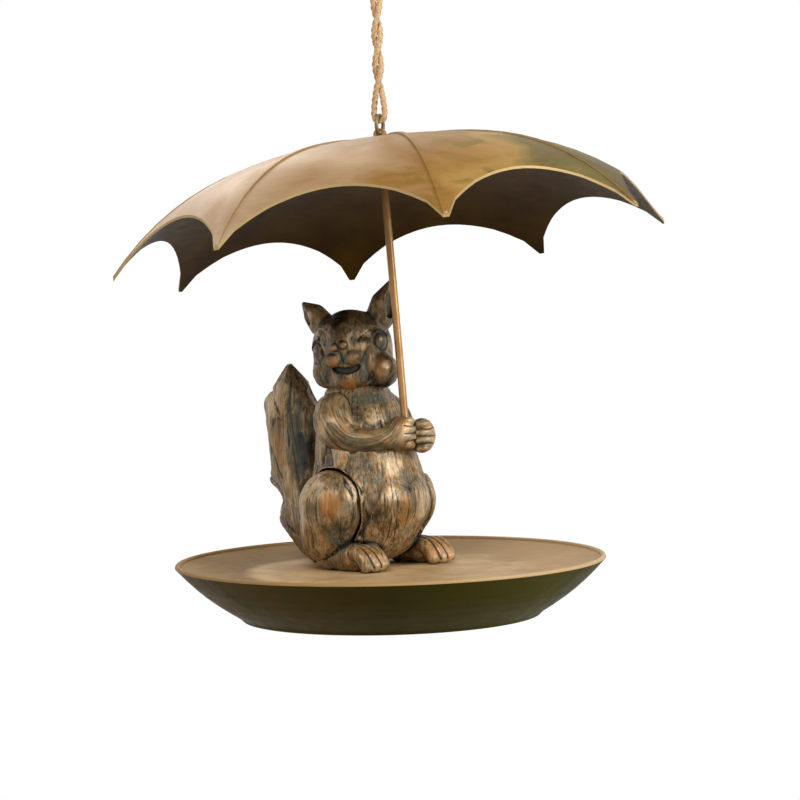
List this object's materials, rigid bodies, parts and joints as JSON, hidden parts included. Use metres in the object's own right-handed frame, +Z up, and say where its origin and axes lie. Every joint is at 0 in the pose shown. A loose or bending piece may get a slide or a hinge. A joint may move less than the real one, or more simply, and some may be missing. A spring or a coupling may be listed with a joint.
{
  "type": "hanging bird feeder",
  "caption": "Hanging bird feeder: a squirrel with an umbrella stands in a round seed tray, hung by a wire ring from a twine loop.",
  "frame": {"origin": "where a hook bears in the top of the twine loop", "axes": "+Z up along the hanging twine; the squirrel's body faces -Y and its left is +X"},
  "size_m": [0.117, 0.1162, 0.1476],
  "materials": {
    "tray_bronze": "cast resin with a rubbed bronze finish, bright at the rim",
    "squirrel_bronze": "cast resin with a dark bronze patina, copper on the high spots and green in the hollows",
    "canopy_sheet": "sheet metal with an antique brass finish",
    "canopy_seam": "raised seam with a worn antique brass finish",
    "crown_metal": "dark antique brass",
    "shaft_brass": "satin copper gold rod",
    "ring_wire": "dark bronze wire",
    "screw_steel": "plain steel",
    "twine": "twisted natural jute"
  },
  "bodies": {
    "hanger": {"ring_bight": "twine", "twine_strands": "twine", "twine_knot": "twine", "hanging_loop": "twine"},
    "ring": {"hanging_ring": "ring_wire"},
    "feeder": {"tray": "tray_bronze", "tray_screws": "screw_steel", "squirrel_body": "squirrel_bronze", "squirrel_head": "squirrel_bronze", "squirrel_tail": "squirrel_bronze", "right_arm": "squirrel_bronze", "left_arm": "squirrel_bronze", "umbrella_shaft": "shaft_brass", "canopy_collar": "shaft_brass", "crown_washer": "crown_metal", "canopy_panel_1": "canopy_sheet", "canopy_panel_2": "canopy_sheet", "canopy_panel_3": "canopy_sheet", "canopy_panel_4": "canopy_sheet", "canopy_panel_5": "canopy_sheet", "canopy_panel_6": "canopy_sheet", "canopy_panel_7": "canopy_sheet", "canopy_panel_8": "canopy_sheet", "canopy_rib_1": "canopy_seam", "canopy_rib_2": "canopy_seam", "canopy_rib_3": "canopy_seam", "canopy_rib_4": "canopy_seam", "canopy_rib_5": "canopy_seam", "canopy_rib_6": "canopy_seam", "canopy_rib_7": "canopy_seam", "canopy_rib_8": "canopy_seam"}
  },
  "joints": [
    {"name": "ring_swing", "type": "hinge", "parent": "hanger", "child": "ring", "pos_m": [0, 0, -0.042], "axis": [0.9397, 0.342, 0], "range_deg": [-35, 35]},
    {"name": "feeder_swing", "type": "hinge", "parent": "ring", "child": "feeder", "pos_m": [0, 0, -0.046], "axis": [0.9397, 0.342, 0], "range_deg": [-30, 30]}
  ]
}
